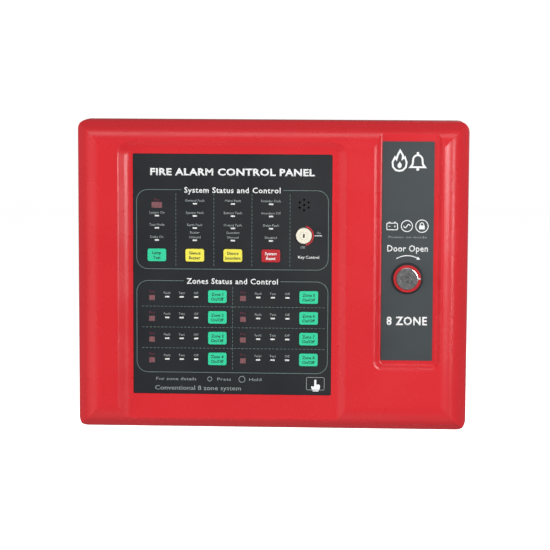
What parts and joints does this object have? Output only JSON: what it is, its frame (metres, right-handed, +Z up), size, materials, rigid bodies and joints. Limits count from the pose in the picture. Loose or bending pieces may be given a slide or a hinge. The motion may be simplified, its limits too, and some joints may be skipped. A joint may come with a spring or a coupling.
{
  "type": "fire alarm control panel",
  "caption": "Wall mounted fire alarm control panel: red box with a hinged, lockable cover, control fascia with keys and indicators, boards, batteries and power supply inside.",
  "frame": {"origin": "centre of the four wall fixing holes, on the rear face of the box", "axes": "+X to the right seen from the front, +Y into the wall, +Z up; the front faces -Y"},
  "size_m": [0.37, 0.1091, 0.294],
  "materials": {
    "red_abs": "fine satin moulded ABS",
    "fascia_print": "satin printed polycarbonate",
    "label_print": "satin printed label",
    "key_green": "satin moulded keycap",
    "key_yellow": "satin moulded keycap",
    "key_red": "satin moulded keycap",
    "alarm_window": "tinted window",
    "status_window": "pale diffusing window",
    "led_epoxy": "moulded epoxy",
    "switch_black": "moulded nylon",
    "board_green": "solder mask over glass fibre",
    "zinc_steel": "bright zinc plated",
    "chip_black": "moulded epoxy",
    "buzzer_black": "moulded plastic",
    "lock_chrome": "satin chrome plated",
    "collar_black": "satin moulded collar",
    "index_red": "gloss moulded ring",
    "brass": "turned brass",
    "cream_plastic": "satin moulded nylon",
    "battery_grey": "moulded ABS case",
    "tinned_brass": "tinned blade",
    "terminal_green": "moulded terminal block",
    "relay_blue": "relay cover",
    "can_sleeve": "capacitor sleeve",
    "heatsink_black": "black anodised",
    "fuse_glass": "clear glass with metal caps",
    "core_steel": "varnished laminations",
    "coil_tape": "polyester tape over copper"
  },
  "bodies": {
    "wall_box": {"back_box": "red_abs", "hinge_pins": "zinc_steel", "strike_plate": "zinc_steel", "strike_screws": "zinc_steel", "main_board": "board_green", "main_board_screws": "zinc_steel", "zone_terminals": "terminal_green", "terminal_screws": "zinc_steel", "relays": "relay_blue", "capacitors": "can_sleeve", "heatsink": "heatsink_black", "regulators": "chip_black", "fuse_holders": "switch_black", "glass_fuses": "fuse_glass", "main_ribbon_header": "switch_black", "transformer_core": "core_steel", "transformer_coil": "coil_tape", "transformer_screws": "zinc_steel", "mains_terminal": "cream_plastic", "earth_stud": "brass", "battery_rear": "battery_grey", "battery_front": "battery_grey", "battery_terminals": "tinned_brass", "battery_clamp": "zinc_steel", "battery_clamp_screw": "zinc_steel"},
    "door": {"door_cover": "red_abs", "fascia_plate": "fascia_print", "fire_lenses": "alarm_window", "status_lenses": "status_window", "fire_leds": "led_epoxy", "status_leds": "led_epoxy", "tact_switches": "switch_black", "display_board": "board_green", "display_board_screws": "zinc_steel", "display_controller": "chip_black", "display_ribbon_header": "switch_black", "buzzer": "buzzer_black", "lock_label": "label_print", "lock_escutcheon": "collar_black", "lock_index_ring": "index_red", "lock_body": "lock_chrome", "lock_nut": "zinc_steel", "key_switch_body": "cream_plastic", "key_switch_nut": "zinc_steel"},
    "lock_barrel": {"lock_plug": "lock_chrome", "lock_cam": "zinc_steel", "lock_cam_screw": "zinc_steel"},
    "key_switch": {"key_switch_plug": "cream_plastic"},
    "key_lamp_test": {"key_lamp_test": "key_green"},
    "key_silence_buzzer": {"key_silence_buzzer": "key_yellow"},
    "key_silence_sounders": {"key_silence_sounders": "key_yellow"},
    "key_reset": {"key_reset": "key_red"},
    "key_zone_1": {"key_zone_1": "key_green"},
    "key_zone_2": {"key_zone_2": "key_green"},
    "key_zone_3": {"key_zone_3": "key_green"},
    "key_zone_4": {"key_zone_4": "key_green"},
    "key_zone_5": {"key_zone_5": "key_green"},
    "key_zone_6": {"key_zone_6": "key_green"},
    "key_zone_7": {"key_zone_7": "key_green"},
    "key_zone_8": {"key_zone_8": "key_green"}
  },
  "joints": [
    {"name": "door_swing", "type": "hinge", "parent": "wall_box", "child": "door", "pos_m": [-0.181, -0.066, 0], "axis": [0, 0, -1], "range_deg": [0, 115]},
    {"name": "lock_turn", "type": "hinge", "parent": "door", "child": "lock_barrel", "pos_m": [0.12763, -0.08, 0], "axis": [0, -1, 0], "range_deg": [0, 90]},
    {"name": "key_switch_turn", "type": "hinge", "parent": "door", "child": "key_switch", "pos_m": [0.0305, -0.095, 0.0393], "axis": [0, -1, 0], "range_deg": [0, 90]},
    {"name": "press_lamp_test", "type": "slide", "parent": "door", "child": "key_lamp_test", "axis": [0, 1, 0], "range_m": [0, 0.0008], "stiffness_N_per_m": 600, "springref_m": -0.001},
    {"name": "press_silence_buzzer", "type": "slide", "parent": "door", "child": "key_silence_buzzer", "axis": [0, 1, 0], "range_m": [0, 0.0008], "stiffness_N_per_m": 600, "springref_m": -0.001},
    {"name": "press_silence_sounders", "type": "slide", "parent": "door", "child": "key_silence_sounders", "axis": [0, 1, 0], "range_m": [0, 0.0008], "stiffness_N_per_m": 600, "springref_m": -0.001},
    {"name": "press_reset", "type": "slide", "parent": "door", "child": "key_reset", "axis": [0, 1, 0], "range_m": [0, 0.0008], "stiffness_N_per_m": 600, "springref_m": -0.001},
    {"name": "press_zone_1", "type": "slide", "parent": "door", "child": "key_zone_1", "axis": [0, 1, 0], "range_m": [0, 0.0008], "stiffness_N_per_m": 600, "springref_m": -0.001},
    {"name": "press_zone_2", "type": "slide", "parent": "door", "child": "key_zone_2", "axis": [0, 1, 0], "range_m": [0, 0.0008], "stiffness_N_per_m": 600, "springref_m": -0.001},
    {"name": "press_zone_3", "type": "slide", "parent": "door", "child": "key_zone_3", "axis": [0, 1, 0], "range_m": [0, 0.0008], "stiffness_N_per_m": 600, "springref_m": -0.001},
    {"name": "press_zone_4", "type": "slide", "parent": "door", "child": "key_zone_4", "axis": [0, 1, 0], "range_m": [0, 0.0008], "stiffness_N_per_m": 600, "springref_m": -0.001},
    {"name": "press_zone_5", "type": "slide", "parent": "door", "child": "key_zone_5", "axis": [0, 1, 0], "range_m": [0, 0.0008], "stiffness_N_per_m": 600, "springref_m": -0.001},
    {"name": "press_zone_6", "type": "slide", "parent": "door", "child": "key_zone_6", "axis": [0, 1, 0], "range_m": [0, 0.0008], "stiffness_N_per_m": 600, "springref_m": -0.001},
    {"name": "press_zone_7", "type": "slide", "parent": "door", "child": "key_zone_7", "axis": [0, 1, 0], "range_m": [0, 0.0008], "stiffness_N_per_m": 600, "springref_m": -0.001},
    {"name": "press_zone_8", "type": "slide", "parent": "door", "child": "key_zone_8", "axis": [0, 1, 0], "range_m": [0, 0.0008], "stiffness_N_per_m": 600, "springref_m": -0.001}
  ]
}
